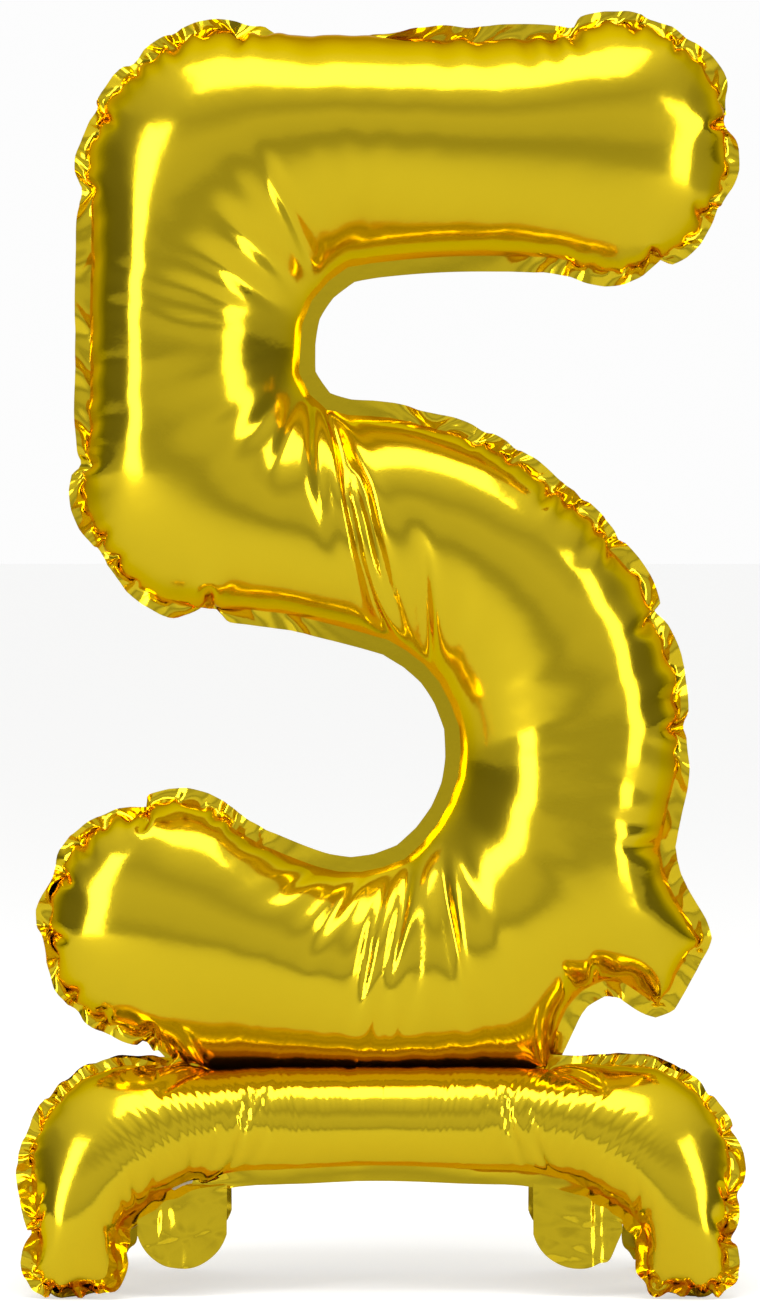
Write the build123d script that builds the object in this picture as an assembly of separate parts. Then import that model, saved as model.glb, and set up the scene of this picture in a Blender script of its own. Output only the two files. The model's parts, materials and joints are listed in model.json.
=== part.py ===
"""A standing foil balloon in the shape of the digit five, as separate film pieces. Millimetres.

+X to the right of the digit, -Y towards the reader, +Z up. The origin is on the floor, under the middle.
The digit and its stand are two inflated chambers, welded together along a straight waist.
"""
from build123d import *
import math
import os

# ---- film ----
FILM = 0.8  # wall of every film piece, thick enough to model
WELD = 1.2  # thickness of a heat-welded border, front and back film together
WELD_WIDTH = 9.0  # width of the border outside the inflated chamber
GAP = 0.4  # clearance between pieces that move against each other

# ---- the digit ----
TUBE = 61.0  # radius of the inflated digit tube
ARM_Z = 643.0  # axis height of the straight top arm
ARM_RIGHT = 134.0  # centre of the rounded end of the top arm
CORNER_X = -95.0  # axis of the upper left corner
ELBOW = (-105.0, 0.0, 453.0)  # axis of the lower left corner, where the bowl begins
WAIST_Z = 121.8  # height of the weld between digit and stand
BOWL_X = -20.0
BOWL_RADIUS = 126.0  # radius of the bowl's axis
BOWL_END = 205.0  # degrees clockwise from the top of the bowl to where it runs straight
HOOK_X = -119.0  # centre of the rounded lower left end
BOWL_Z = WAIST_Z + 1.0 + TUBE + BOWL_RADIUS

# ---- the filling tail of the digit, at the lower right ----
TAIL_ANGLE = 36.0  # degrees below the horizontal
TAIL_ROOT = 150.0  # distances from the bowl's centre
TAIL_TIP = 226.0
TAIL_ROOT_SIZE = (36.0, 18.0)  # half width in the digit's plane, half depth
TAIL_TIP_SIZE = (17.0, 6.0)

# ---- the neck and the waist ----
NECK_LEFT, NECK_RIGHT = -99.0, 90.0
NECK_TOP = 175.0

# ---- one foot of the stand: an arch of tube that leans outward from the waist ----
FOOT_TUBE = 29.0
FOOT_AXIS_Y = 31.0  # distance of the arch's top axis from the middle plane
FOOT_AXIS_Z = 93.0
FOOT_SPLAY = 12.0  # degrees that each arch leans outward
LEG_X = 168.0
LEG_END = 68.0  # distance from the arch's top axis down to the end of the leg's axis
HAUNCH_TOP_X = 92.0  # a slanting tube fills the corner between arch and leg
HAUNCH_END = 49.4
SIDE_WELD_X = 203.0
SIDE_WELD_LOW, SIDE_WELD_HIGH = 24.0, 114.0
FOLD_HALF_HEIGHT = 11.0  # the gusset fold, where the two feet touch
FOLD_HALF_DEPTH = 12.0

# ---- tabs under the feet, and the two filling valves ----
TAB_RADIUS = 27.0
TAB_X, TAB_DROP = 112.0, 55.0  # the tab's centre, in the plane of the foot
TAB_GAP = 1.5  # clearance between a tab and the border it hangs from, so that it can swing
LEG_GAP = 1.0  # clearance between a tab and the border of the leg beside it
VALVE_WIDTH = 22.0
VALVE_LENGTH = 66.0
VALVE_LAYER = 0.4
VALVE_MOUTH = 236.0  # distance of the digit valve's mouth from the bowl's centre
STAND_VALVE_LENGTH = 42.0

BIG = 2000.0
TURN_AXIS = Axis((0, 0, 0), (1, 0, 0))


def rod(start, end, radius):
    """A straight round solid from one point to another."""
    along = Vector(*end) - Vector(*start)
    return Solid.make_cylinder(radius, along.length, Plane(origin=start, z_dir=along))


def ball(centre, radius):
    return Pos(*centre) * Solid.make_sphere(radius)


def slab(low, high):
    """A box between two corners."""
    size = [b - a for a, b in zip(low, high)]
    middle = [(a + b) / 2 for a, b in zip(low, high)]
    return Pos(*middle) * Box(*size)


def fused(solids):
    return solids[0].fuse(*solids[1:])


def below(z):
    return slab((-BIG, -BIG, z - BIG), (BIG, BIG, z))


# ---------------------------------------------------------------- the digit

def on_bowl(degrees, distance=BOWL_RADIUS):
    """A point at an angle clockwise from the bowl's top, seen by the reader."""
    angle = math.radians(degrees)
    return (BOWL_X + distance * math.sin(angle), 0.0, BOWL_Z + distance * math.cos(angle))


def bowl_start():
    """The angle at which the line from the elbow touches the bowl's axis circle."""
    across, up = ELBOW[0] - BOWL_X, ELBOW[2] - BOWL_Z
    toward_elbow = math.degrees(math.atan2(across, up))
    return toward_elbow + math.degrees(math.acos(BOWL_RADIUS / math.hypot(across, up)))


def hook_end():
    """The centre of the lower left end, on the tangent from the end of the bowl."""
    x, _, z = on_bowl(BOWL_END)
    heading = math.radians(BOWL_END)
    run = (HOOK_X - x) / math.cos(heading)
    return (HOOK_X, 0.0, z - run * math.sin(heading))


def bowl_tube(radius):
    """The round part of the tube, from the tangent point to the end of the bowl."""
    start = bowl_start()
    angle = math.radians(start)
    outward = (math.sin(angle), 0.0, math.cos(angle))
    heading = (math.cos(angle), 0.0, -math.sin(angle))
    section = Plane(origin=on_bowl(start), x_dir=outward, z_dir=heading) * Circle(radius)
    spin = Axis((BOWL_X, 0.0, BOWL_Z), (0, 1, 0))
    return revolve(section, spin, BOWL_END - start).solid()


def tail_plane(distance):
    """The plane across the filling tail, at a distance from the bowl's centre."""
    angle = math.radians(TAIL_ANGLE)
    along = (math.cos(angle), 0.0, -math.sin(angle))
    across = (math.sin(angle), 0.0, math.cos(angle))
    origin = (BOWL_X + distance * along[0], 0.0, BOWL_Z + distance * along[2])
    return Plane(origin=origin, x_dir=across, z_dir=along)


def tail(swell):
    """The soft tail that holds the valve, swollen outward by some distance."""
    wide, narrow = TAIL_ROOT_SIZE, TAIL_TIP_SIZE
    root = tail_plane(TAIL_ROOT) * Ellipse(wide[0] + swell, wide[1] + swell)
    tip = tail_plane(TAIL_TIP + swell) * Ellipse(narrow[0] + swell, narrow[1] + swell)
    return loft([root.face(), tip.face()]).solid()


def digit(radius):
    """The whole digit as one filled solid, its tube and tail swollen to a radius."""
    arm_end, corner = (ARM_RIGHT, 0.0, ARM_Z), (CORNER_X, 0.0, ARM_Z)
    start, finish, hook = on_bowl(bowl_start()), on_bowl(BOWL_END), hook_end()
    pieces = [
        rod(arm_end, corner, radius),
        ball(arm_end, radius),
        ball(corner, radius),
        rod(corner, ELBOW, radius),
        ball(ELBOW, radius),
        rod(ELBOW, start, radius),
        bowl_tube(radius),
        rod(finish, hook, radius),
        ball(hook, radius),
        tail(radius - TUBE),
    ]
    return fused(pieces)


def neck():
    """Flat film between the bottom of the bowl and the waist."""
    outline = Polyline(
        (NECK_LEFT, WAIST_Z), (NECK_RIGHT, WAIST_Z),
        (NECK_RIGHT + 14, NECK_TOP), (NECK_LEFT - 16, NECK_TOP), close=True,
    )
    return extrude(Plane.XZ * make_face(outline), WELD / 2, both=True)


def valve_layer(side):
    """One of the two thin films that lie together in the digit's tail and seal it."""
    plane = tail_plane(VALVE_MOUTH - VALVE_LENGTH)
    face = plane * Pos(0, side * (VALVE_LAYER / 2 + 0.05)) * Rectangle(VALVE_WIDTH, VALVE_LAYER)
    return extrude(face, VALVE_LENGTH)


def valve_passage():
    """The room that the digit's valve takes through the welded border."""
    face = tail_plane(VALVE_MOUTH - VALVE_LENGTH) * Rectangle(VALVE_WIDTH + 0.2, WELD + 1)
    return extrude(face, VALVE_LENGTH + 5)


def digit_pieces():
    """The films, border and valve of the digit."""
    inside = digit(TUBE - FILM)
    skin = digit(TUBE) - inside
    half = WELD / 2
    front = skin & slab((-BIG, -BIG, 0), (BIG, -half, BIG))
    back = skin & slab((-BIG, half, 0), (BIG, BIG, BIG))
    border = digit(TUBE + WELD_WIDTH) & slab((-BIG, -half, 0), (BIG, half, BIG))
    border = (border + neck()) - inside - below(WAIST_Z + GAP) - valve_passage()
    return {
        "digit_front_film": front,
        "digit_back_film": back,
        "digit_welded_border": border,
        "digit_valve_front_layer": valve_layer(-1),
        "digit_valve_back_layer": valve_layer(1),
    }


# ---------------------------------------------------------------- the stand

def foot(radius):
    """One foot as a filled solid, upright in the plane y = 0 with its top axis at z = 0."""
    pieces = [rod((-LEG_X, 0, 0), (LEG_X, 0, 0), radius)]
    for side in (-1, 1):
        knee, toe = (side * LEG_X, 0, 0), (side * LEG_X, 0, -LEG_END)
        haunch = (side * HAUNCH_TOP_X, 0, 0)
        pieces += [
            ball(knee, radius),
            rod(knee, toe, radius),
            ball(toe, radius),
            rod(haunch, (side * LEG_X, 0, -HAUNCH_END), radius),
        ]
    return fused(pieces)


def haunch_plane(distance, side=-1):
    """At a distance below the haunch's axis, with x along it and z square to it, away from the tube."""
    run = Vector(LEG_X - HAUNCH_TOP_X, 0, -HAUNCH_END).normalized()
    along = Vector(side * run.X, 0, run.Z)
    away = Vector(side * run.Z, 0, -run.X)
    middle = Vector(side * TAB_X, 0, -(TAB_X - HAUNCH_TOP_X) * HAUNCH_END / (LEG_X - HAUNCH_TOP_X))
    return Plane(origin=middle + away * distance, x_dir=along, z_dir=away)


def tab(side):
    """A half-round flap of welded film under one end of the arch."""
    disc = Pos(side * TAB_X, 0, -TAB_DROP) * Rot(90, 0, 0) * Cylinder(TAB_RADIUS, WELD)
    keep = haunch_plane(FOOT_TUBE + WELD_WIDTH + TAB_GAP, side)
    half = extrude(keep * Rectangle(BIG, BIG), BIG)
    beside_leg = LEG_X - FOOT_TUBE - WELD_WIDTH - LEG_GAP
    return disc & half & slab((-beside_leg, -BIG, -BIG), (beside_leg, BIG, BIG))


def stand_valve_layer(side):
    """One of the two thin films of the stand's valve, from its tab's root up into the foot."""
    plane = haunch_plane(FOOT_TUBE + WELD_WIDTH)
    face = plane * Pos(0, side * (VALVE_LAYER / 2 + 0.05)) * Rectangle(VALVE_WIDTH, VALVE_LAYER)
    return extrude(face, -STAND_VALVE_LENGTH)


def stand_valve_passage():
    face = haunch_plane(FOOT_TUBE + WELD_WIDTH + 1) * Rectangle(VALVE_WIDTH + 0.2, WELD + 1)
    return extrude(face, -STAND_VALVE_LENGTH)


def lean(shape):
    """Moves a foot's piece from its own plane to its place in front, splayed."""
    return Pos(0, -FOOT_AXIS_Y, FOOT_AXIS_Z) * shape.rotate(TURN_AXIS, -FOOT_SPLAY)


def mirrored(shape):
    return mirror(shape, about=Plane.XZ)


def front_foot_pieces():
    """The films, border and tabs of the front foot. Its soles are flat on the floor."""
    outside = lean(foot(FOOT_TUBE)) - below(0)
    inside = lean(foot(FOOT_TUBE - FILM)) - below(FILM)
    skin = outside - inside
    half = WELD / 2
    front_half = lean(slab((-BIG, -BIG, -BIG), (BIG, -half, BIG)))
    back_half = lean(slab((-BIG, half, -BIG), (BIG, BIG, BIG)))
    weld_zone = lean(slab((-BIG, -half, -BIG), (BIG, half, -FOOT_TUBE / 2)))
    border = lean(foot(FOOT_TUBE + WELD_WIDTH)) & weld_zone
    border = border - inside - below(0)
    return {
        "outer_film": skin & front_half,
        "inner_film": skin & back_half,
        "welded_border": border,
        "left_tab": lean(tab(-1)),
        "right_tab": lean(tab(1)),
    }


def gusset_fold():
    """The crown of the folded inner film, where the two feet press together."""
    reach = LEG_X + 4
    block = slab(
        (-reach, -FOLD_HALF_DEPTH, FOOT_AXIS_Z - FOLD_HALF_HEIGHT),
        (reach, FOLD_HALF_DEPTH, FOOT_AXIS_Z + FOLD_HALF_HEIGHT),
    )
    front = lean(foot(FOOT_TUBE))
    return block - front - mirrored(front)


def waist_weld():
    """The straight weld that stands on the fold and carries the digit."""
    top_of_fold = FOOT_AXIS_Z + FOLD_HALF_HEIGHT
    low = (NECK_LEFT, -WELD / 2, top_of_fold)
    return slab(low, (NECK_RIGHT, WELD / 2, WAIST_Z - GAP))


def side_weld(side):
    """The upright weld that closes one end of the stand, front films to rear films."""
    inner, outer = side * (LEG_X + 4), side * SIDE_WELD_X
    low, high = min(inner, outer), max(inner, outer)
    return slab((low, -WELD / 2, SIDE_WELD_LOW), (high, WELD / 2, SIDE_WELD_HIGH))


def stand_pieces():
    """Two feet, the fold between them, the waist, the side welds and the stand's valve."""
    front = front_foot_pieces()
    rear = {name: mirrored(shape) for name, shape in front.items()}
    front["welded_border"] = front["welded_border"] - lean(stand_valve_passage())
    pieces = {f"front_foot_{name}": shape for name, shape in front.items()}
    pieces |= {f"rear_foot_{name}": shape for name, shape in rear.items()}
    pieces["gusset_fold"] = gusset_fold()
    pieces["waist_weld"] = waist_weld()
    pieces["left_side_weld"] = side_weld(-1)
    pieces["right_side_weld"] = side_weld(1)
    pieces["stand_valve_front_layer"] = lean(stand_valve_layer(-1))
    pieces["stand_valve_back_layer"] = lean(stand_valve_layer(1))
    return pieces


def main():
    os.makedirs("parts", exist_ok=True)
    for name, shape in (digit_pieces() | stand_pieces()).items():
        export_step(Compound(children=shape.solids()), f"parts/{name}.step")


main()
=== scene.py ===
"""Looks for the standing foil digit: every film is cut flat, welded along its seam and blown up.

The CAD gives the height of the waist. Each film here starts as a flat
pattern in millimetres, is inflated by a small film solver, and ends as a mesh in metres in the CAD's frame.
"""

import json
import logging
import math
from dataclasses import dataclass, field
from enum import Enum
from typing import Callable, Sequence

import bpy
import numpy as np
from bpy.types import Material, Nodes, Object, ShaderNode
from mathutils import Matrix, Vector
from mathutils.geometry import delaunay_2d_cdt

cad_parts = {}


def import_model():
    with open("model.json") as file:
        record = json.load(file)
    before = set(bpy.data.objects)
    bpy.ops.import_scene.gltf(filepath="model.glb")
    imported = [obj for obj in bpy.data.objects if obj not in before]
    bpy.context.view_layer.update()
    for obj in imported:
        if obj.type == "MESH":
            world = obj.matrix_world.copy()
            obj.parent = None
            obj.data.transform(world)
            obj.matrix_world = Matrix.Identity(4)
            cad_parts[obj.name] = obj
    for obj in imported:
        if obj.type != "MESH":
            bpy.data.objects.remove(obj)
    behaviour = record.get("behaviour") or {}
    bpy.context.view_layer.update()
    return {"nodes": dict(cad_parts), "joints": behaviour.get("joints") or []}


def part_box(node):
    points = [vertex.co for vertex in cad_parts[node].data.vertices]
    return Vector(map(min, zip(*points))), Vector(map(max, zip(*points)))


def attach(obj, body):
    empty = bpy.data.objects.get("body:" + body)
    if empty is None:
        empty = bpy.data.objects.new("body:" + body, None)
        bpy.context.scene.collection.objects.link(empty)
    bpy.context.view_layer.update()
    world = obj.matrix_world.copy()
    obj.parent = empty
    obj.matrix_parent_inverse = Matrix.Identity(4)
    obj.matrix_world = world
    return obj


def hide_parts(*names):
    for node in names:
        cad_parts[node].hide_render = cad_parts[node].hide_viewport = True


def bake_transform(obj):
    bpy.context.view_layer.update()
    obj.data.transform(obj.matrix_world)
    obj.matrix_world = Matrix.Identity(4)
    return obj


log = logging.getLogger("foil_digit")

MM = 0.001

# All in millimetres, apart from the shares.
SEAM_BORDER = 9.0  # width of the welded border outside a seam
WAIST_HALF = 101.0  # half of a flat width that takes in the whole waist weld
WAIST_NEAR = 0.5  # how close to the waist's height its vertices lie
WAIST_DRAW = 0.97  # share of its flat width that the waist keeps once filled
WELD_MARGIN = 0.6  # strip beside the waist that the weld itself covers
BORDER_RISE = 0.4  # from the waist up to the CAD's digit border
FILM_GAP = 0.05  # least distance of a film from the middle plane while upright
FOOT_GAP = 0.3  # least distance of a leaning foot from the middle plane and the floor
START_GAP = 2.0  # how far each film starts from the middle plane
FILLET_SHARE = 0.98  # share of an edge that the fillets at its ends may use up
MESH_JITTER = 0.12  # unevenness of the mesh, as a share of its step
RIM_CLEARANCE = 0.62  # gap between the rim and the grid inside it, as a share of the step
BATCH = 200  # how many rim points are measured against the grid at once

Hold = Callable[[np.ndarray, np.ndarray], None]  # corrects places and speeds


class Side(Enum):
    """An end of the stand, with its sign along x."""

    LEFT = -1
    RIGHT = 1


# ------------------------------------------------------------------ flat patterns


@dataclass(frozen=True)
class Corner:
    """One rounded corner of a cut line, in millimetres on the flat film."""

    name: str
    across: float
    up: float
    fillet: float


def rounded_outline(corners: Sequence[Corner], step: float = 2.0) -> np.ndarray:
    """Draws the closed line through rounded corners.

    Args:
        corners: the corners in order round the outline.
        step: spacing of the points on the fillets.

    Returns:
        The points of the line, one row each.
    """
    points = np.array([(c.across, c.up) for c in corners], float)
    count = len(points)
    to_prev = np.roll(points, 1, axis=0) - points
    to_next = np.roll(points, -1, axis=0) - points
    len_prev = np.linalg.norm(to_prev, axis=1)
    len_next = np.linalg.norm(to_next, axis=1)
    to_prev /= len_prev[:, None]
    to_next /= len_next[:, None]
    half = np.arccos(np.clip((to_prev * to_next).sum(1), -1, 1)) / 2
    reach = np.array([c.fillet for c in corners]) / np.tan(half)
    for _ in range(3):
        for i in range(count):
            j = (i + 1) % count
            over = (reach[i] + reach[j]) / (FILLET_SHARE * len_next[i])
            if over > 1:
                reach[i] /= over
                reach[j] /= over
    line = []
    for i in range(count):
        radius = reach[i] * math.tan(half[i])
        middle = to_prev[i] + to_next[i]
        centre = points[i] + middle / np.linalg.norm(middle) * radius / math.sin(half[i])
        first = points[i] + to_prev[i] * reach[i] - centre
        last = points[i] + to_next[i] * reach[i] - centre
        start = math.atan2(first[1], first[0])
        turn = math.atan2(first[0] * last[1] - first[1] * last[0], float(first @ last))
        steps = max(2, int(abs(turn) * radius / step))
        for k in range(steps + 1):
            angle = start + turn * k / steps
            line.append(centre + radius * np.array([math.cos(angle), math.sin(angle)]))
    return np.array(line)


def resampled(line: np.ndarray, step: float) -> np.ndarray:
    """Spaces the points of a closed line evenly.

    Args:
        line: the points of the line.
        step: the wanted spacing.

    Returns:
        The evenly spaced points.
    """
    closed = np.vstack([line, line[:1]])
    length = np.r_[0, np.cumsum(np.linalg.norm(np.diff(closed, axis=0), axis=1))]
    count = max(8, int(round(length[-1] / step)))
    where = np.linspace(0, length[-1], count, endpoint=False)
    return np.c_[np.interp(where, length, closed[:, 0]), np.interp(where, length, closed[:, 1])]


def inside(points: np.ndarray, line: np.ndarray) -> np.ndarray:
    """Says which points a closed line holds.

    Args:
        points: the points to test.
        line: the closed line.

    Returns:
        One true or false for each point.
    """
    across, up = points[:, 0][:, None], points[:, 1][:, None]
    x0, z0 = line[:, 0], line[:, 1]
    x1, z1 = np.roll(x0, -1), np.roll(z0, -1)
    spans = (z0 > up) != (z1 > up)
    with np.errstate(divide="ignore", invalid="ignore"):
        hit = (x1 - x0) * (up - z0) / (z1 - z0) + x0
    return (np.sum(spans & (across < hit), axis=1) % 2) == 1


def widened(line: np.ndarray, width: float) -> np.ndarray:
    """Moves a closed line outward.

    Args:
        line: the closed line.
        width: how far to move it.

    Returns:
        The moved line.
    """
    following = np.roll(line, -1, axis=0)
    along = following - np.roll(line, 1, axis=0)
    along /= np.maximum(np.linalg.norm(along, axis=1)[:, None], 1e-9)
    normal = np.c_[along[:, 1], -along[:, 0]]
    area = 0.5 * np.sum(line[:, 0] * following[:, 1] - following[:, 0] * line[:, 1])
    return line + normal * width * (1 if area > 0 else -1)


def edges_of(triangles: np.ndarray) -> np.ndarray:
    """Lists each edge of some triangles once.

    Args:
        triangles: the triangles.

    Returns:
        The edges, each with its lower vertex first.
    """
    edges = np.vstack([triangles[:, [0, 1]], triangles[:, [1, 2]], triangles[:, [2, 0]]])
    edges.sort(axis=1)
    return np.unique(edges, axis=0)


@dataclass
class FlatFilm:
    """A meshed flat pattern: the chamber inside the seam, and the welded border round it."""

    points: np.ndarray
    triangles: np.ndarray
    chamber: np.ndarray

    @classmethod
    def cut(cls, corners: Sequence[Corner], border: float, step: float, seed: int) -> "FlatFilm":
        """Cuts and meshes a pattern.

        Args:
            corners: the corners of the seam.
            border: the width of the weld outside the seam.
            step: the size of the mesh.
            seed: makes the mesh's small irregularities repeatable.

        Returns:
            The meshed pattern.
        """
        line = rounded_outline(corners)
        seam, edge = resampled(line, step), resampled(widened(line, border), step)
        low, high = edge.min(0), edge.max(0)
        rows = []
        for j, up in enumerate(np.arange(low[1], high[1], step * math.sqrt(3) / 2)):
            across = np.arange(low[0] + (step / 2 if j % 2 else 0), high[0], step)
            rows.append(np.c_[across, np.full(len(across), up)])
        grid = np.vstack(rows)
        grid += np.random.default_rng(seed).uniform(-MESH_JITTER, MESH_JITTER, grid.shape) * step
        grid = grid[inside(grid, edge)]
        rim = np.vstack([seam, edge])
        gap = np.full(len(grid), np.inf)
        for part in np.array_split(rim, max(1, len(rim) // BATCH)):
            gap = np.minimum(gap, np.sqrt(((grid[:, None] - part[None]) ** 2).sum(-1)).min(1))
        grid = grid[gap > RIM_CLEARANCE * step]
        first, second = len(seam), len(edge)
        rings = [(i, (i + 1) % first) for i in range(first)]
        rings += [(first + i, first + (i + 1) % second) for i in range(second)]
        every = [Vector(point) for point in np.vstack([rim, grid]).tolist()]
        found = delaunay_2d_cdt(every, rings, [], 0, 1e-5)
        points = np.array([tuple(v) for v in found[0]])
        triangles = np.array(found[2], int)
        centres = points[triangles].mean(1)
        chamber = inside(centres, seam)
        keep = chamber | inside(centres, edge)
        triangles, chamber = triangles[keep], chamber[keep]
        a, b, c = (points[triangles[:, i]] for i in range(3))
        area = (b[:, 0] - a[:, 0]) * (c[:, 1] - a[:, 1]) - (b[:, 1] - a[:, 1]) * (c[:, 0] - a[:, 0])
        triangles[area < 0] = triangles[area < 0][:, ::-1]
        used = np.unique(triangles)
        number = np.zeros(len(points), int)
        number[used] = np.arange(len(used))
        return cls(points[used], number[triangles], chamber)

    def area(self, chamber_only: bool = True) -> float:
        """Measures the film.

        Args:
            chamber_only: leave out the welded border.

        Returns:
            The flat area, in square millimetres.
        """
        triangles = self.triangles[self.chamber] if chamber_only else self.triangles
        a, b, c = (self.points[triangles[:, i]] for i in range(3))
        return float(np.abs(np.cross(b - a, c - a)).sum() / 2)


# ------------------------------------------------------------------ inflating


@dataclass
class Inflation:
    """One stage of blowing up, in the solver's own units.

    Squeeze is how stiffly the film resists being pushed together, next to 1 for being pulled.
    Scatter is the size of the random offsets given to the finer mesh before the stage.
    """

    steps: int
    pressure: float = 4e-4
    bending: float = 0.05
    squeeze: float = 0.6
    drag: float = 0.03
    scatter: float = 0.0

    @classmethod
    def coarse(cls, steps: int) -> "Inflation":
        """The first, smooth filling, in which the film gives way instead of creasing."""
        return cls(steps, pressure=1.2e-3, bending=0.03, squeeze=0.02, drag=0.02)


class WeldedFilms:
    """Two films over one flat pattern, joined along the seam and in the border."""

    def __init__(self, flat: FlatFilm) -> None:
        """Joins two copies of a flat film.

        Args:
            flat: the meshed pattern.
        """
        self.flat = flat
        count = len(flat.points)
        in_chamber, in_border = np.zeros(count, bool), np.zeros(count, bool)
        in_chamber[flat.triangles[flat.chamber]] = True
        in_border[flat.triangles[~flat.chamber]] = True
        self.seam = in_chamber & in_border
        self.free = in_chamber & ~in_border
        self.back = np.arange(count)
        self.back[self.free] = count + np.arange(int(self.free.sum()))
        self.count = count + int(self.free.sum())
        self.front_faces = flat.triangles[flat.chamber]
        self.back_faces = self.back[self.front_faces][:, ::-1]
        self.border_faces = flat.triangles[~flat.chamber]
        self.side = np.r_[np.where(self.free, -1.0, 0.0), np.ones(int(self.free.sum()))]
        self.pattern = np.vstack([flat.points, flat.points[self.free]])
        self._link()
        self.place = np.array([self.pattern[:, 0], START_GAP * self.side, self.pattern[:, 1]], np.float32)

    def _link(self) -> None:
        """Prepares the lists of neighbours that the solver walks through."""
        faces = np.vstack([self.front_faces, self.back_faces])
        film, border = edges_of(faces), edges_of(self.border_faces)
        both = np.vstack([film, border])
        key, which = np.unique(both[:, 0] * self.count + both[:, 1], return_inverse=True)
        layers = np.bincount(which, np.r_[np.ones(len(film)), np.full(len(border), 2.0)])
        ends = np.c_[key // self.count, key % self.count]
        rest = np.linalg.norm(self.pattern[ends[:, 0]] - self.pattern[ends[:, 1]], axis=1)
        source, target = np.r_[ends[:, 0], ends[:, 1]], np.r_[ends[:, 1], ends[:, 0]]
        order = np.argsort(source, kind="stable")
        self.source, self.target = source[order], target[order]
        self.rest = np.r_[rest, rest][order].astype(np.float32)
        self.layers = np.minimum(np.r_[layers, layers][order], 2.0).astype(np.float32)
        self.start = np.searchsorted(self.source, np.arange(self.count))
        self.links = np.bincount(self.source, minlength=self.count).astype(np.float32)
        self.faces = faces
        order = np.argsort(faces.ravel(), kind="stable")
        owners = faces.ravel()[order]
        self.face_of = order // 3
        self.face_owner = np.unique(owners)
        self.face_start = np.searchsorted(owners, self.face_owner)

    def _sum(self, values: np.ndarray) -> np.ndarray:
        """Adds up a value of each link at the vertex it starts from."""
        return np.add.reduceat(values, self.start, axis=1)

    def _flattening(self, place: np.ndarray) -> np.ndarray:
        """The pull of each vertex towards the mean of its neighbours."""
        return self._sum(place[:, self.target]) / self.links - place

    def inflate(self, stage: Inflation, hold: Hold) -> None:
        """Runs one stage of the solver.

        Args:
            stage: how the film is blown up.
            hold: corrects places and speeds after each step, such as at a pinned seam.
        """
        time_step = np.float32(0.4)
        place, speed = self.place, np.zeros_like(self.place)
        rest = self.rest
        for _ in range(stage.steps):
            gap = place[:, self.target] - place[:, self.source]
            length = np.sqrt(gap[0] ** 2 + gap[1] ** 2 + gap[2] ** 2)
            stretch = length - rest
            stiffness = np.where(stretch < 0, np.float32(stage.squeeze), np.float32(1))
            pull = self.layers * stiffness * stretch
            force = self._sum(gap * (pull / np.maximum(length, np.float32(1e-6))))
            if stage.bending:
                force -= np.float32(stage.bending) * self._flattening(self._flattening(place))
            a, b, c = (place[:, self.faces[:, i]] for i in range(3))
            u, v = b - a, c - a
            push = np.array(
                [u[1] * v[2] - u[2] * v[1], u[2] * v[0] - u[0] * v[2], u[0] * v[1] - u[1] * v[0]]
            ) * np.float32(stage.pressure / 6)
            force[:, self.face_owner] += np.add.reduceat(push[:, self.face_of], self.face_start, axis=1)
            speed = (speed + force * time_step) * np.float32(1 - stage.drag)
            place = place + speed * time_step
            hold(place, speed)
        self.place = place

    def refined(self, scatter: float, seed: int) -> "WeldedFilms":
        """Splits each triangle in four and carries the shape over.

        Args:
            scatter: size of the small random offsets that let wrinkles start.
            seed: makes the offsets repeatable.

        Returns:
            The finer films.
        """
        flat, count = self.flat, len(self.flat.points)
        edges = edges_of(flat.triangles)
        key = edges[:, 0] * count + edges[:, 1]

        def middle(a: np.ndarray, b: np.ndarray) -> np.ndarray:
            """The number of the new vertex between two others."""
            return count + np.searchsorted(key, np.minimum(a, b) * count + np.maximum(a, b))

        a, b, c = flat.triangles.T
        ab, bc, ca = middle(a, b), middle(b, c), middle(c, a)
        parts = (np.c_[a, ab, ca], np.c_[ab, b, bc], np.c_[ca, bc, c], np.c_[ab, bc, ca])
        triangles = np.vstack(parts)
        points = np.vstack([flat.points, flat.points[edges].mean(1)])
        fine = WeldedFilms(FlatFilm(points, triangles, np.tile(flat.chamber, 4)))
        old = self.place.T
        front = np.vstack([old[:count], old[edges].mean(1)])
        rear = np.vstack([old[self.back], old[self.back[edges]].mean(1)])
        place = np.vstack([front, rear[fine.free]])
        place += np.random.default_rng(seed).normal(0, scatter, place.shape)
        fine.place = place.T.astype(np.float32)
        return fine


def waist_of(films: WeldedFilms, waist_z: float) -> np.ndarray:
    """Finds the seam's vertices where the digit and the stand are welded.

    Args:
        films: the films to search.
        waist_z: the height of the weld.

    Returns:
        The vertices' numbers.
    """
    points = films.flat.points
    level = np.abs(points[:, 1] - waist_z) < WAIST_NEAR
    return np.where(films.seam & level & (np.abs(points[:, 0]) < WAIST_HALF))[0]


def waist_target(films: WeldedFilms, pinned: np.ndarray, depth: float) -> np.ndarray:
    """Says where the waist's vertices are held.

    Args:
        films: the films that are held.
        pinned: the numbers of the waist's vertices.
        depth: how far from the middle plane, along y.

    Returns:
        Their places, one column each.
    """
    points = films.flat.points
    return np.array([points[pinned, 0] * WAIST_DRAW, 0 * pinned + depth, points[pinned, 1]], np.float32)


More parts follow.
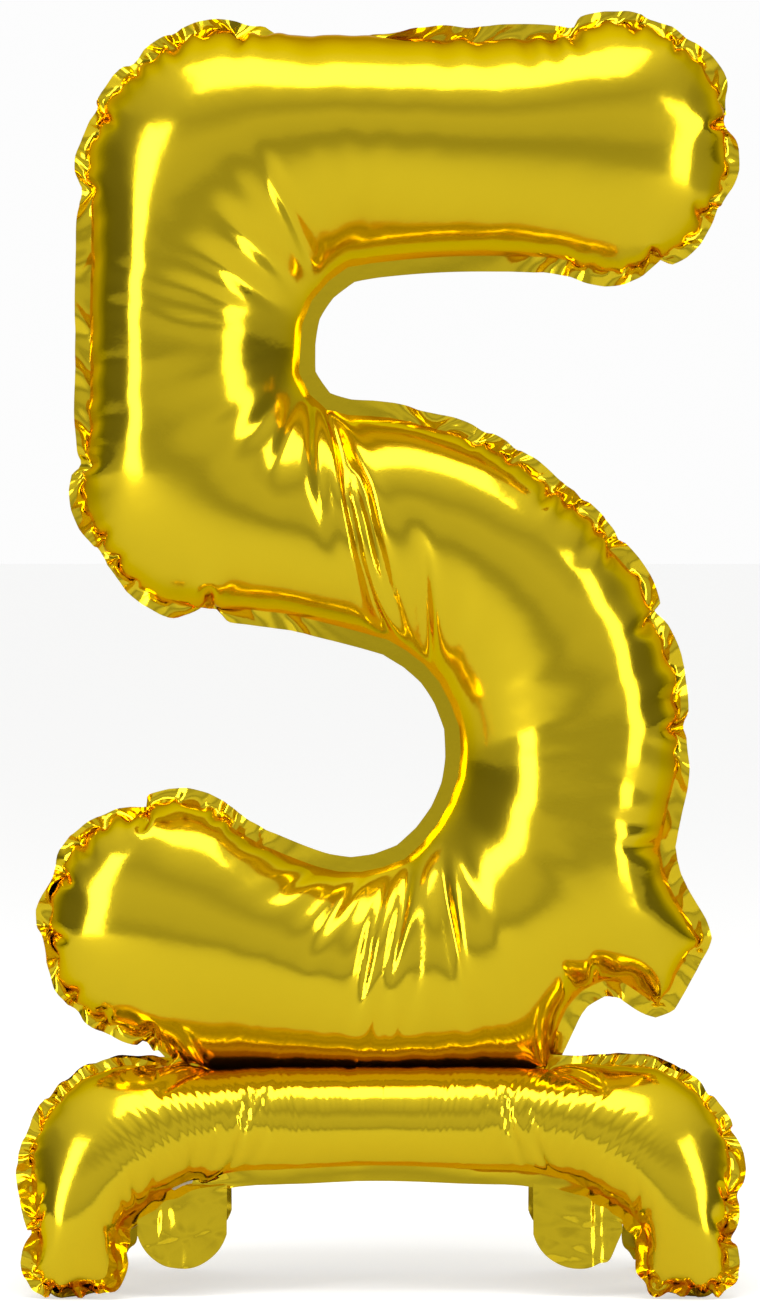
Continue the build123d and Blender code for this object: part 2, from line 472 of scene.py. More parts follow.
def held_upright(films: WeldedFilms, waist_z: float) -> Hold:
    """Keeps the waist straight and each film on its own side of the middle plane.

    Args:
        films: the films to hold.
        waist_z: the height of the waist.

    Returns:
        The correction for each solver step.
    """
    pinned = waist_of(films, waist_z)
    target = waist_target(films, pinned, 0)
    front, back = films.side < 0, films.side > 0

    def hold(place: np.ndarray, speed: np.ndarray) -> None:
        """Applies the limits in place."""
        place[1] = np.where(front, np.minimum(place[1], -FILM_GAP), place[1])
        place[1] = np.where(back, np.maximum(place[1], FILM_GAP), place[1])
        place[:, pinned] = target
        speed[:, pinned] = 0

    return hold


def declare_films(
    films: WeldedFilms
) -> None:
    """Measures a welded pair's flat sheets, once with the border and once without; the areas are not used.

    Args:
        films: the inflated films.
    """
    films.flat.area(False) * MM**2
    films.flat.area() * MM**2


# ------------------------------------------------------------------ finishes


def node_material(name: str) -> tuple[Material, ShaderNode]:
    """Starts a node material.

    Args:
        name: the material's name.

    Returns:
        The material and its shader.
    """
    material = bpy.data.materials.new(name)
    material.use_nodes = True
    return material, material.node_tree.nodes["Principled BSDF"]


def added(nodes: Nodes, kind: str, values: dict | None = None, **settings: str) -> ShaderNode:
    """Adds a node.

    Args:
        nodes: the nodes to add it to.
        kind: its type, without the usual beginning.
        values: what its inputs are set to.
        settings: its other properties, which are set first.

    Returns:
        The node.
    """
    node = nodes.new(f"ShaderNode{kind}")
    for name, value in settings.items():
        setattr(node, name, value)
    for name, value in (values or {}).items():
        node.inputs[name].default_value = value
    return node


def noise_in(material: Material, scale: float, detail: float = 2.0) -> ShaderNode:
    """Adds a noise texture that is fixed to the piece.

    Args:
        material: the material to add it to.
        scale: how fine the noise is.
        detail: how many finer layers it has.

    Returns:
        The texture.
    """
    nodes = material.node_tree.nodes
    coords = added(nodes, "TexCoord")
    noise = added(nodes, "TexNoise", {"Scale": scale, "Detail": detail})
    material.node_tree.links.new(coords.outputs["Object"], noise.inputs["Vector"])
    return noise


def mottle(
    material: Material, noise: ShaderNode, tint: Sequence[float], darker: float
) -> None:
    """Varies the material's colour with a noise texture.

    Args:
        material: the material to colour.
        noise: what the colour follows.
        tint: the lighter colour.
        darker: the darker colour, as a share of the lighter one.
    """
    nodes, links = material.node_tree.nodes, material.node_tree.links
    shades = {"A": (*tint, 1), "B": (*(c * darker for c in tint), 1)}
    colour = added(nodes, "Mix", shades, data_type="RGBA")
    links.new(noise.outputs["Fac"], colour.inputs["Factor"])
    links.new(colour.outputs["Result"], nodes["Principled BSDF"].inputs["Base Color"])


@dataclass(frozen=True)
class FoilFinish:
    """Bright metallised plastic film: a tinted mirror with fine crinkle in it."""

    name: str = "gold_film"
    tint: tuple[float, float, float] = (0.86, 0.63, 0.02)
    edge_tint: tuple[float, float, float] = (1.0, 0.62, 0.05)
    smooth: float = 0.09
    dull: float = 0.17
    crinkle: float = 0.10
    crinkle_height: float = 0.0006
    crinkle_scale: float = 160.0
    cloud_scale: float = 9.0
    darker: float = 0.93

    def build(self) -> Material:
        """Makes the material.

        Returns:
            The new material.
        """
        material, shader = node_material(self.name)
        nodes, links = material.node_tree.nodes, material.node_tree.links
        shader.inputs["Metallic"].default_value = 1.0
        shader.inputs["Specular Tint"].default_value = (*self.edge_tint, 1)
        cloud = noise_in(material, self.cloud_scale, detail=4.0)
        gloss = added(nodes, "MapRange", {"To Min": self.smooth, "To Max": self.dull})
        links.new(cloud.outputs["Fac"], gloss.inputs["Value"])
        links.new(gloss.outputs["Result"], shader.inputs["Roughness"])
        mottle(material, cloud, self.tint, self.darker)
        grain = noise_in(material, self.crinkle_scale, detail=3.0)
        bump = added(nodes, "Bump", {"Strength": self.crinkle, "Distance": self.crinkle_height})
        links.new(grain.outputs["Fac"], bump.inputs["Height"])
        links.new(bump.outputs["Normal"], shader.inputs["Normal"])
        return material


@dataclass(frozen=True)
class ValveFinish:
    """Thin, milky film of the filling valves."""

    name: str = "clear_film"
    tint: tuple[float, float, float] = (0.82, 0.82, 0.78)
    rough: float = 0.22
    see_through: float = 0.35
    cloud_scale: float = 60.0
    darker: float = 0.85

    def build(self) -> Material:
        """Makes the material.

        Returns:
            The new material.
        """
        material, shader = node_material(self.name)
        shader.inputs["Roughness"].default_value = self.rough
        shader.inputs["Transmission Weight"].default_value = self.see_through
        mottle(material, noise_in(material, self.cloud_scale), self.tint, self.darker)
        return material


@dataclass(frozen=True)
class PaperFloorFinish:
    """The plain pale floor. It glows to the camera only, so that it looks paler than its reflection."""

    name: str = "pale_floor"
    tint: tuple[float, float, float] = (0.60, 0.60, 0.59)
    glow: float = 0.55
    rough: float = 0.9

    def build(self) -> Material:
        """Makes the material.

        Returns:
            The new material.
        """
        material, shader = node_material(self.name)
        nodes, links = material.node_tree.nodes, material.node_tree.links
        shader.inputs["Base Color"].default_value = (*self.tint, 1)
        shader.inputs["Roughness"].default_value = self.rough
        shader.inputs["Emission Color"].default_value = (1, 1, 1, 1)
        seen = added(nodes, "LightPath")
        lift = added(nodes, "Math", {1: self.glow}, operation="MULTIPLY")
        links.new(seen.outputs["Is Camera Ray"], lift.inputs[0])
        links.new(lift.outputs["Value"], shader.inputs["Emission Strength"])
        return material


def film_object(
    name: str,
    places: np.ndarray,
    faces: np.ndarray,
    material: Material,
) -> Object:
    """Makes a smooth mesh object from some of the solver's triangles.

    Args:
        name: the piece's name.
        places: vertex places in millimetres, one row each.
        faces: triangles that index the places.
        material: the piece's finish.

    Returns:
        The new object.
    """
    used, numbered = np.unique(faces, return_inverse=True)
    mesh = bpy.data.meshes.new(name)
    mesh.from_pydata((places[used] * MM).tolist(), [], numbered.reshape(-1, 3).tolist())
    mesh.polygons.foreach_set("use_smooth", [True] * len(mesh.polygons))
    mesh.materials.append(material)
    mesh.update()
    piece = bpy.data.objects.new(name, mesh)
    bpy.context.scene.collection.objects.link(piece)
    return piece


def strip_faces(rows: int, columns: int) -> np.ndarray:
    """Lists the triangles of a grid.

    Args:
        rows: how many rows of vertices.
        columns: how many vertices in each row.

    Returns:
        The triangles.
    """
    a = (np.arange(columns - 1) + columns * np.arange(rows - 1)[:, None]).ravel()
    b, c, d = a + 1, a + columns + 1, a + columns
    return np.vstack([np.c_[a, b, c], np.c_[a, c, d]])


def seam_place(
    films: WeldedFilms, places: np.ndarray, flat_point: tuple[float, float]
) -> np.ndarray:
    """Finds where a point of the flat seam ends up.

    Args:
        films: the inflated films.
        places: where their vertices are.
        flat_point: a point near the seam on the flat pattern.

    Returns:
        The place of the nearest seam vertex.
    """
    seam = np.where(films.seam)[0]
    gap = np.hypot(*(films.flat.points[seam] - flat_point).T)
    return places[seam[np.argmin(gap)]]


@dataclass
class ValveSleeve:
    """A filling valve: two clear films, joined at their long edges, lying inside the chamber."""

    body: str
    root: np.ndarray
    along: tuple[float, float, float]
    half_width: float = 10.0
    length: float = 36.0
    start: float = 2.0
    edge_gap: float = 0.1
    belly: float = 0.6
    rows: int = 24
    columns: int = 9

    def build(self, clear: Material) -> Object:
        """Makes the sleeve.

        Args:
            clear: the valve film's finish.

        Returns:
            The sleeve.
        """
        along = np.array(self.along) / np.linalg.norm(self.along)
        wide = np.cross(along, (0, 1, 0))
        wide /= np.linalg.norm(wide)
        thick = np.cross(wide, along)
        places = []
        for layer in (-1, 1):
            for up in np.linspace(self.start, self.length, self.rows):
                for across in np.linspace(-1, 1, self.columns):
                    gap = self.edge_gap + self.belly * (1 - across**2)
                    middle = self.root + along * up
                    places.append(middle + wide * across * self.half_width + thick * gap * layer)
        quads = strip_faces(self.rows, self.columns)
        faces = np.vstack([quads, quads[:, ::-1] + self.columns * self.rows])
        name = f"{self.body}_valve"
        sleeve = film_object(f"{name}_sleeve", np.array(places), faces, clear)
        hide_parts(f"{name}_front_layer", f"{name}_back_layer")
        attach(sleeve, self.body)
        return sleeve


# ------------------------------------------------------------------ the digit


@dataclass
class Digit:
    """The inflated five: front and back skin, the welded border and the filling tail.

    The seam's corners are flat places that fill out to the wanted shape. They were found by inflating
    trial cut lines again and again with a fitting script, then rounded and adjusted by hand.
    """

    waist_z: float
    mesh_step: float = 12.0
    bend_height: float = 0.06
    tail_point: tuple[float, float] = (195, 178)
    tail_end: np.ndarray = field(init=False)
    stages: tuple[Inflation, ...] = (
        Inflation.coarse(700),
        Inflation(steps=200, pressure=1.2e-3, bending=0.1, squeeze=0.05, scatter=0.1),
        Inflation(steps=300, pressure=8e-4, bending=0.05, squeeze=0.6, scatter=0.25),
    )
    quick_stages: tuple[Inflation, ...] = (
        Inflation.coarse(700),
        Inflation(steps=250, pressure=8e-4, bending=0.05, squeeze=0.6, scatter=0.3),
    )
    seam: tuple[Corner, ...] = (
        Corner("arm end, top", 220, 780, 94),
        Corner("arm end, bottom", 218, 587, 94),
        Corner("inside the top bend, above", -33, 588, 38),
        Corner("inside the top bend, below", -33, 517, 32),
        Corner("bowl, top", 58, 529, 215),
        Corner("bowl, shoulder", 166, 462, 215),
        Corner("bowl, right", 217, 350, 215),
        Corner("tail root, top", 200, 256, 20),
        Corner("tail tip, top", 207, 199, 8),
        Corner("tail tip, bottom", 182, 158, 8),
        Corner("tail root, bottom", 151, 161, 14),
        Corner("bowl, bottom right", 129, 152, 25),
        Corner("waist, right", 98, 121.8, 8),
        Corner("waist, left", -115, 121.8, 40),
        Corner("hook, bottom", -206, 159, 84),
        Corner("hook, top", -230, 375, 92),
        Corner("inside the bowl, below", 34, 240, 52),
        Corner("inside the bowl, above", 46, 364, 56),
        Corner("elbow", -201, 385, 108),
        Corner("upper left corner", -191, 756, 120),
    )

    def blow_up(self) -> WeldedFilms:
        """Inflates the digit, held by its waist.

        Returns:
            The inflated films.
        """
        films = WeldedFilms(FlatFilm.cut(self.seam, SEAM_BORDER, self.mesh_step, seed=1))
        stages = self.stages
        for number, stage in enumerate(stages):
            if number:
                films = films.refined(stage.scatter, number)
            films.inflate(stage, held_upright(films, self.waist_z))
            log.info("digit stage %d: %d vertices", number, films.count)
        return films

    def build(self, gold: Material) -> list[Object]:
        """Builds the digit's pieces.

        Args:
            gold: the film's finish.

        Returns:
            The pieces.
        """
        films = self.blow_up()
        places = films.place.T
        top = films.flat.points[films.border_faces][:, :, 1].max(1)
        border = films.border_faces[top > self.waist_z + WELD_MARGIN]
        front = film_object("digit_front_skin", places, films.front_faces[:, ::-1], gold)
        back = film_object("digit_back_skin", places, films.back_faces[:, ::-1], gold)
        rim = film_object("digit_seam_border", places, border, gold)
        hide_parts("digit_front_film")
        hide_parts("digit_back_film")
        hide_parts("digit_welded_border")
        for piece in (front, back, rim):
            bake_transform(piece)
        self.tail_end = seam_place(films, places, self.tail_point)
        declare_films(films)
        return [front, back, rim]


# ------------------------------------------------------------------ the stand


@dataclass
class Foot:
    """One inflated foot: an arch of film with its border, leaning out from the waist.

    The half cut line's corners were found like the digit's: by a fitting script, then by hand.
    """

    name: str
    outward: float
    waist_z: float
    seed: int
    lean: float = 21.0
    mesh_step: float = 9.0
    hidden_half: float = 99.0
    floor_band: float = 20.0
    splay_pull: float = 0.002
    arch_top: float = 60.0
    arch_half: float = 149.0
    side_from: float = 200.0
    valve_point: tuple[float, float] = (-118, 14)
    valve_root: np.ndarray = field(init=False)
    cut_edge: tuple[np.ndarray, np.ndarray] = field(init=False)
    stages: tuple[Inflation, ...] = (
        Inflation.coarse(500),
        Inflation(steps=250, pressure=1.0e-3, bending=0.0, squeeze=0.05, scatter=0.25),
        Inflation(steps=300, pressure=1.0e-3, bending=0.04, squeeze=0.6, scatter=0.25),
    )
    quick_stages: tuple[Inflation, ...] = (
        Inflation.coarse(500),
        Inflation(steps=250, pressure=1.0e-3, bending=0.04, squeeze=0.6, scatter=0.25),
    )
    right_half: tuple[Corner, ...] = (
        Corner("shoulder", 219, 121.8, 78),
        Corner("toe, outside", 217, -34, 28),
        Corner("toe, inside", 163, -34, 22),
        Corner("haunch, low", 149, -7, 50),
        Corner("haunch, high", 88, 27, 100),
    )
    arch_middle: Corner = Corner("arch, middle", 0, 33, 500)

    def seam(self) -> tuple[Corner, ...]:
        """Mirrors the right half of the cut line.

        Returns:
            The corners of the whole seam.
        """
        left = [Corner(c.name, -c.across, c.up, c.fillet) for c in reversed(self.right_half)]
        return (*self.right_half, self.arch_middle, *left)

    def blow_up(self) -> WeldedFilms:
        """Inflates the foot upright, then leans it out against the other foot and the floor.

        Returns:
            The inflated films, still in front of the middle plane.
        """
        films = WeldedFilms(FlatFilm.cut(self.seam(), SEAM_BORDER, self.mesh_step, seed=self.seed))
        stages = self.stages
        films.inflate(stages[0], held_upright(films, self.waist_z))
        angle = math.radians(self.lean)
        down, depth = self.waist_z - films.place[2], films.place[1].copy()
        films.place[1] = depth * math.cos(angle) - down * math.sin(angle)
        films.place[2] = self.waist_z - down * math.cos(angle) - depth * math.sin(angle)
        for number, stage in enumerate(stages):
            if number:
                films = films.refined(stage.scatter, self.seed + number)
            films.inflate(stage, self._held_leaning(films))
            log.info("%s stage %d: %d vertices", self.name, number, films.count)
        return films

    def _held_leaning(self, films: WeldedFilms) -> Hold:
        """Holds the waist, and presses the foot against the middle plane and the floor.

        Args:
            films: the films to hold.

        Returns:
            The correction for each solver step.
        """
        pinned = waist_of(films, self.waist_z)
        target = waist_target(films, pinned, -FOOT_GAP)
        slope = math.tan(math.radians(self.lean))
        low = films.seam & (films.flat.points[:, 1] < self.floor_band)
        low = np.r_[low, np.zeros(films.count - len(low), bool)]

        def hold(place: np.ndarray, speed: np.ndarray) -> None:
            """Applies the limits in place."""
            wanted = -(self.waist_z - place[2, low]) * slope
            speed[1, low] += self.splay_pull * (wanted - place[1, low])
            speed[1, (place[1] > -FOOT_GAP)] = 0
            place[1] = np.minimum(place[1], -FOOT_GAP)
            place[2] = np.maximum(place[2], FOOT_GAP)
            place[:, pinned] = target
            speed[:, pinned] = 0

        return hold

    def build(self, gold: Material) -> list[Object]:
        """Builds the foot's skins and border.

        Args:
            gold: the film's finish.

        Returns:
            The pieces.
        """
        films = self.blow_up()
        films = films.refined(0.0, self.seed)
        places = Pleats(seed=self.seed).pressed(films)
        corners = films.flat.points[films.border_faces]
        on_top = corners[:, :, 1].min(1) > self.waist_z - WELD_MARGIN
        hidden = on_top & (np.abs(corners[:, :, 0]).max(1) < self.hidden_half)
        border = films.border_faces[~hidden]
        outer_faces, inner_faces = films.front_faces[:, ::-1], films.back_faces[:, ::-1]
        if self.outward > 0:
            places[:, 1] *= -1
            outer_faces, inner_faces = outer_faces[:, ::-1], inner_faces[:, ::-1]
        outer = film_object(f"{self.name}_outer_skin", places, outer_faces, gold)
        inner = film_object(f"{self.name}_inner_skin", places, inner_faces, gold)
        rim = film_object(f"{self.name}_seam_border", places, border, gold)
        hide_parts(f"{self.name}_outer_film")
        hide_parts(f"{self.name}_inner_film")
        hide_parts(f"{self.name}_welded_border")
        for piece in (outer, inner, rim):
            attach(piece, "stand")
        self.cut_edge = self._cut_edge(films, places)
        self.valve_root = seam_place(films, places, self.valve_point)
        declare_films(films)
        return [outer, inner, rim]

    def _cut_edge(self, films: WeldedFilms, places: np.ndarray) -> tuple[np.ndarray, np.ndarray]:
        """Finds the outer edge of the border.

        Args:
            films: the inflated films.
            places: where their vertices are.

        Returns:
            The edge's flat points and their places.
        """
        faces = films.border_faces
        edges = np.vstack([faces[:, [0, 1]], faces[:, [1, 2]], faces[:, [2, 0]]])
        edges.sort(axis=1)
        unique, times = np.unique(edges, axis=0, return_counts=True)
        rim = np.unique(unique[times == 1])
        rim = rim[~films.seam[rim]]
        return films.flat.points[rim], places[rim]

    def edge_between(self, low: float, high: float, side: Side) -> np.ndarray:
        """The border's lower edge under one end of the arch, from the middle outward.

        Args:
            low: where it starts, in millimetres from the middle.
            high: where it ends.
            side: which end of the foot.

        Returns:
            Places along the edge.
        """
        flat, places = self.cut_edge
        across = places[:, 0] * side.value
        under = (flat[:, 1] < self.arch_top) & (np.abs(flat[:, 0]) < self.arch_half)
        chosen = places[under & (across > low) & (across < high)]
        return chosen[np.argsort(chosen[:, 0] * side.value)]

    def side_edge(self, side: Side, low: float, high: float) -> np.ndarray:
        """The border's upright edge at one end of the foot, from the bottom up.

        Args:
            side: which end of the foot.
            low: lowest flat height to take.
            high: highest flat height to take.

        Returns:
            Places along the edge.
        """
        flat, places = self.cut_edge
        upright = (flat[:, 0] * side.value > self.side_from) & (flat[:, 1] > low) & (flat[:, 1] < high)
        chosen, heights = places[upright], flat[upright, 1]
        return chosen[np.argsort(heights)]


@dataclass
class Pleats:
    """The fine pleats that fan out over the crown of a foot's arch.

    They are finer than the solver's mesh can fold, so they are a formula pressed into the inflated film.
    """

    seed: int
    seed_shift: int = 100
    centre_up: float = -120.0
    pitch: float = 0.018
    depth: float = 0.27
    width: float = 0.0052
    spread: float = 1.2
    unevenness: float = 0.35
    shallowest: float = 0.25
    reach: float = 172.0
    side_fade: float = 30.0
    inner_radius: float = 158.0
    inner_fade: float = 14.0
    outer_radius: float = 243.0
    outer_fade: float = 10.0
    lowest: float = 30.0
    low_fade: float = 12.0
    layers: int = 3
    first_ring: float = 175.0
    ring_step: float = 22.0
    ring_width: float = 24.0

    def _profile(self, draw: np.random.Generator, angles: np.ndarray) -> np.ndarray:
        """Draws one set of pleats.

        Args:
            draw: the source of random numbers.
            angles: where to measure, round the fan's centre.

        Returns:
            How far the film dips, from 0 to about 1.
        """
        lines = np.arange(-self.spread, self.spread, self.pitch)
        lines = lines + draw.uniform(-self.unevenness, self.unevenness, len(lines)) * self.pitch
        deep = draw.uniform(self.shallowest, 1.0, len(lines))
        near = np.clip(np.searchsorted(lines, angles), 1, len(lines) - 1)
        dip = np.zeros_like(angles)
        for shift in (-1, 0):
            at = near + shift
            dip += deep[at] * np.exp(-(((angles - lines[at]) / self.width) ** 2))
        return dip

    def pressed(self, films: WeldedFilms) -> np.ndarray:
        """Presses the pleats into the outer skin.

        Args:
            films: the inflated foot.

        Returns:
            The places of all its vertices.
        """
        places = films.place.T.astype(float)
        faces = films.front_faces
        a, b, c = (places[faces[:, i]] for i in range(3))
        normal = np.zeros_like(places)
        for i in range(3):
            np.add.at(normal, faces[:, i], np.cross(b - a, c - a))
        normal /= np.maximum(np.linalg.norm(normal, axis=1)[:, None], 1e-9)
        points = films.flat.points
        across, up = points[:, 0], points[:, 1]
        angles = np.arctan2(across, up - self.centre_up)
        draw = np.random.default_rng(self.seed + self.seed_shift)
        radius = np.hypot(across, up - self.centre_up)
        band = np.clip((radius - self.inner_radius) / self.inner_fade, 0, 1)
        band = band * np.clip((self.outer_radius - radius) / self.outer_fade, 0, 1)
        band = band * np.clip((self.reach - np.abs(across)) / self.side_fade, 0, 1)
        band = band * np.clip((up - self.lowest) / self.low_fade, 0, 1)
        dip = np.zeros(len(points))
        for layer in range(self.layers):
            ring = radius - self.first_ring - self.ring_step * layer
            fade = 0.5 + 0.5 * np.cos(ring / self.ring_width)
            dip += fade * self._profile(draw, angles)
        skin = np.zeros(len(points), bool)
        skin[faces] = True
        skin &= films.free
        depth = self.depth * band * dip
        where = np.where(skin)[0]
        places[where] -= normal[where] * depth[where, None]
        return places


@dataclass
class Tab:
    """A half-round flap of welded film that hangs under one end of a foot's arch."""

    foot: Foot
    side: Side
    joint: dict
    seed: int
    curl: float = 0.0
    curl_turn: float = 0.42
    curl_from: float = 122.0
    curl_fade: float = 8.0
    inner: float = 86.0
    outer: float = 136.0
    middle: float = 111.0
    radius: float = 26.0
    centre_z: float = 42.0
    tuck: float = 2.0
    spare: float = 3.0
    layer_gap: float = 0.25
    least_height: float = 1.5
    lean: float = 12.0
    columns: int = 64
    rows: int = 44
    crumple: float = 1.1
    crumple_share: float = 0.4
    crumple_growth: float = 5.0
    ridges: int = 16
    shortest: float = 9.0
    longest: float = 30.0
    bend_above: float = 0.010
    bend_below: float = 0.003

    def build(self, gold: Material) -> Object:
        """Hangs the tab from the foot's border.

        Args:
            gold: the film's finish.

        Returns:
            The tab.
        """
        name = f"{self.foot.name}_{self.side.name.lower()}_tab"
        sign = self.side.value
        edge = self.foot.edge_between(self.inner - self.spare, self.outer + self.spare, self.side)
        across = np.linspace(self.inner, self.outer, self.columns)
        order = edge[:, 0] * sign
        depth = np.interp(across, order, edge[:, 1]) - self.layer_gap * self.foot.outward
        top = np.interp(across, order, edge[:, 2]) + self.tuck
        away = (across - self.middle) / self.radius
        bottom = self.centre_z - self.radius * np.sqrt(np.clip(1 - away**2, 0, 1))
        rise = self.curl * np.sin((across - self.inner) * self.curl_turn)
        bottom = bottom + rise * np.clip((across - self.curl_from) / self.curl_fade, 0, 1)
        bottom = np.minimum(bottom, top - self.least_height)
        share = np.linspace(0, 1, self.rows)[:, None]
        up = top + (bottom - top) * share
        out = self.foot.outward * (top - up) * math.tan(math.radians(self.lean))
        draw = np.random.default_rng(self.seed)
        wave = np.zeros_like(up)
        for _ in range(self.ridges):
            turn, length = draw.uniform(0, math.pi), draw.uniform(self.shortest, self.longest)
            phase = (across * math.cos(turn) + up * math.sin(turn)) * 2 * math.pi / length
            ridge = 1 - 2 * np.abs(np.sin(phase / 2 + draw.uniform(0, 6)))
            wave += ridge * length / self.longest * draw.uniform(-1, 1)
        wave *= self.crumple * self.crumple_share * np.clip(share * self.crumple_growth, 0, 1)
        sideways = np.broadcast_to(across * sign, up.shape)
        places = np.stack([sideways, depth + out + wave, up], axis=-1).reshape(-1, 3)
        faces = strip_faces(self.rows, self.columns)
        if sign * self.foot.outward > 0:
            faces = faces[:, ::-1]
        tab = film_object(f"{name}_film", places, faces, gold)
        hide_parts(name)
        hinge, axis = Vector(self.joint["pos_m"]), Vector(self.joint["axis"]).normalized()
        lean = math.radians(self.lean)
        down = Vector((0, math.sin(lean) * self.foot.outward, -math.cos(lean)))
        away = (down - axis * down.dot(axis)).normalized()
        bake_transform(tab)
        return tab


@dataclass
class StandClosings:
    """What joins the two feet: the side welds and the fold between them."""

    front: Foot
    rear: Foot
    web_low: float = 12.0
    web_high: float = 104.0
    web_rows: int = 60
    web_columns: int = 14
    fold_in: float = 5.0
    fold_share: float = 0.2
    crown_left: float = -96.0
    crown_right: float = 88.0
    crown_columns: int = 40

    def side_web(self, side: Side, gold: Material) -> Object:
        """Joins the ends of the two feet with a folded web.

        Args:
            side: which end of the stand.
            gold: the film's finish.

        Returns:
            The web.
        """
        count = self.web_rows
        lines = []
        for foot in (self.front, self.rear):
            edge = foot.side_edge(side, self.web_low, self.web_high)
            steps = np.linspace(0, len(edge) - 1, count)
            spaced = [np.interp(steps, np.arange(len(edge)), edge[:, i]) for i in range(3)]
            lines.append(np.array(spaced).T)
        share = np.linspace(0, 1, self.web_columns)[None, :, None]
        places = lines[0][:, None] * (1 - share) + lines[1][:, None] * share
        gap = np.linalg.norm(lines[1] - lines[0], axis=1)[:, None]
        fold = np.minimum(self.fold_in, gap * self.fold_share) * (1 - np.abs(2 * share[..., 0] - 1))
        places[..., 0] -= side.value * fold
        places = places.reshape(-1, 3)
        faces = strip_faces(count, self.web_columns)
        if side is Side.LEFT:
            faces = faces[:, ::-1]
        name = f"{side.name.lower()}_side_weld"
        web = film_object(f"{name}_web", places, faces, gold)
        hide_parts(name)
        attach(web, "stand")
        return web

    def fold(self, gold: Material) -> Object:
        """Makes the crown of the folded film between the feet.

        Args:
            gold: the film's finish.

        Returns:
            The fold.
        """
        rear_half = ((0.15, 118), (0.2, 110), (0.2, 96))
        front_half = tuple((-y, z) for y, z in reversed(rear_half))
        profile = np.array([*front_half, (0, 119.2), *rear_half])
        across = np.linspace(self.crown_left, self.crown_right, self.crown_columns)
        places = np.array([(x, y, z) for x in across for y, z in profile])
        fold = film_object("gusset_crown", places, strip_faces(len(across), len(profile)), gold)
        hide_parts("gusset_fold")
        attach(fold, "stand")
        return fold


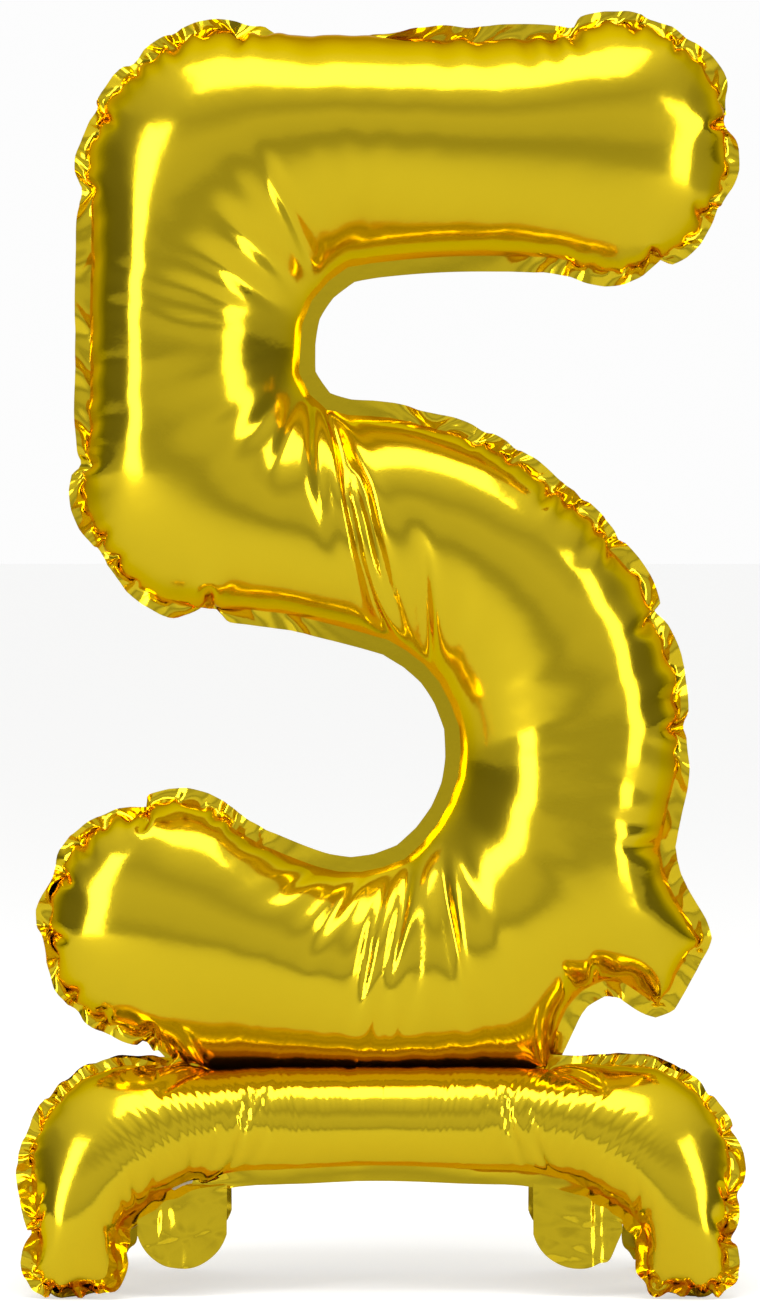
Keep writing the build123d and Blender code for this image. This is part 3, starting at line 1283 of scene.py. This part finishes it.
@dataclass
class Studio:
    """Pale floor, soft light and the camera."""

    distance: float = 2.9
    eye_height: float = 0.45
    aim_height: float = 0.3585
    frame_height: float = 0.745
    sensor_height: float = 24.0
    side_shade: float = 0.3
    air_levels: tuple[tuple[float, float], ...] = (
        (0.0, 0.55),
        (0.44, 0.26),
        (0.55, 0.54),
        (0.68, 0.60),
        (0.78, 0.42),
        (1.0, 0.9),
    )
    light_aim: float = 0.38
    floor_size: float = 60.0

    def build(self) -> None:
        """Sets up the floor, the lights and the camera."""
        bpy.ops.mesh.primitive_plane_add(size=self.floor_size)
        floor = bpy.context.object
        floor.name = "studio_floor"
        floor.data.materials.append(PaperFloorFinish().build())
        self._air()
        self._light("left_window", (-1.8, -1.2, 0.9), (0.6, 1.9), 22)
        self._light("right_window", (1.9, -1.0, 0.8), (0.6, 1.9), 15)
        self._light("top_window", (0, -0.5, 2.2), (1.8, 0.9), 22)
        self._camera()
        bpy.context.scene.view_settings.view_transform = "Standard"

    def _air(self) -> None:
        """Makes the soft room that the film reflects. The camera itself sees plain white."""
        world = bpy.data.worlds.new("studio_air")
        world.use_nodes = True
        bpy.context.scene.world = world
        nodes, links = world.node_tree.nodes, world.node_tree.links
        air = nodes["Background"]
        coords = added(nodes, "TexCoord")
        split = added(nodes, "SeparateXYZ")
        ramp = added(nodes, "ValToRGB")
        raised = added(nodes, "MapRange", {"From Min": -1.0})
        links.new(coords.outputs["Generated"], split.inputs["Vector"])
        links.new(split.outputs["Z"], raised.inputs["Value"])
        links.new(raised.outputs["Result"], ramp.inputs["Fac"])
        while len(ramp.color_ramp.elements) < len(self.air_levels):
            ramp.color_ramp.elements.new(0.5)
        for element, (place, level) in zip(ramp.color_ramp.elements, self.air_levels):
            element.position = place
            element.color = (level, level, level, 1)
        sideways = added(nodes, "Math", operation="ABSOLUTE")
        limits = {"From Min": 0.78, "From Max": 0.95, "To Min": 1.0, "To Max": self.side_shade}
        shade = added(nodes, "MapRange", limits)
        shaded = added(nodes, "VectorMath", operation="SCALE")
        links.new(split.outputs["X"], sideways.inputs[0])
        links.new(sideways.outputs["Value"], shade.inputs["Value"])
        links.new(ramp.outputs["Color"], shaded.inputs["Vector"])
        links.new(shade.outputs["Result"], shaded.inputs["Scale"])
        seen = added(nodes, "LightPath")
        mix = added(nodes, "Mix", {"B": (0.98, 0.98, 0.98, 1)}, data_type="RGBA")
        links.new(seen.outputs["Is Camera Ray"], mix.inputs["Factor"])
        links.new(shaded.outputs["Vector"], mix.inputs["A"])
        links.new(mix.outputs["Result"], air.inputs["Color"])
        air.inputs["Strength"].default_value = 1.0

    def _light(
        self, name: str, place: Sequence[float], size: tuple[float, float], power: float
    ) -> None:
        """Adds a soft rectangular light that faces the digit.

        Args:
            name: the light's name.
            place: where it stands.
            size: its width and height.
            power: its strength in watts.
        """
        lamp = bpy.data.lights.new(name, "AREA")
        lamp.shape = "RECTANGLE"
        lamp.size, lamp.size_y = size
        lamp.energy = power
        holder = bpy.data.objects.new(name, lamp)
        holder.location = place
        facing = Vector((0, 0, self.light_aim)) - Vector(place)
        holder.rotation_euler = facing.to_track_quat("-Z", "Y").to_euler()
        bpy.context.scene.collection.objects.link(holder)

    def _camera(self) -> None:
        """Adds the camera, a little above the digit's middle and looking slightly down."""
        lens = bpy.data.cameras.new("studio_camera")
        lens.sensor_fit = "VERTICAL"
        lens.sensor_height = self.sensor_height
        eye, aim = Vector((0, -self.distance, self.eye_height)), Vector((0, 0, self.aim_height))
        lens.lens = self.sensor_height * (aim - eye).length / self.frame_height
        camera = bpy.data.objects.new("studio_camera", lens)
        camera.location = eye
        camera.rotation_euler = (aim - eye).to_track_quat("-Z", "Y").to_euler()
        bpy.context.scene.collection.objects.link(camera)
        bpy.context.scene.camera = camera


def dress_cad_nodes(frame: dict, gold: Material, clear: Material) -> None:
    """Gives each CAD node that is still shown its finish.

    Args:
        gold: the film's finish.
        clear: the valves' finish.
    """
    for name, node in frame["nodes"].items():
        node.data.materials.clear()
        node.data.materials.append(clear if "valve" in name else gold)


def main() -> None:
    """Loads the frame, builds each sub-assembly and the studio, and notes the sizes."""
    logging.basicConfig(level=logging.INFO, format="%(name)s: %(message)s")
    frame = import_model()
    gold, clear = FoilFinish().build(), ValveFinish().build()
    dress_cad_nodes(frame, gold, clear)
    waist_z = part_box("digit_welded_border")[0].z / MM - BORDER_RISE
    digit = Digit(waist_z)
    pieces = digit.build(gold)
    front = Foot("front_foot", -1, waist_z, seed=11)
    rear = Foot("rear_foot", 1, waist_z, seed=23)
    pieces += front.build(gold) + rear.build(gold)
    hinges = {joint["child"]: joint for joint in frame["joints"]}
    pieces.append(Tab(front, Side.LEFT, hinges["front_left_tab"], seed=3).build(gold))
    pieces.append(Tab(front, Side.RIGHT, hinges["front_right_tab"], seed=4, curl=2.6).build(gold))
    pieces.append(Tab(rear, Side.LEFT, hinges["rear_left_tab"], seed=5).build(gold))
    pieces.append(Tab(rear, Side.RIGHT, hinges["rear_right_tab"], seed=6).build(gold))
    closings = StandClosings(front, rear)
    pieces += [closings.side_web(side, gold) for side in Side]
    pieces.append(closings.fold(gold))
    pieces.append(ValveSleeve("stand", front.valve_root, (0.42, 0.05, 0.90)).build(clear))
    pieces.append(ValveSleeve("digit", digit.tail_end, (-0.81, 0, 0.59), length=60.0).build(clear))
    Studio().build()
    for piece in pieces:
        log.info("%s: %d faces", piece.name, len(piece.data.polygons))


if __name__ == "__main__":
    main()
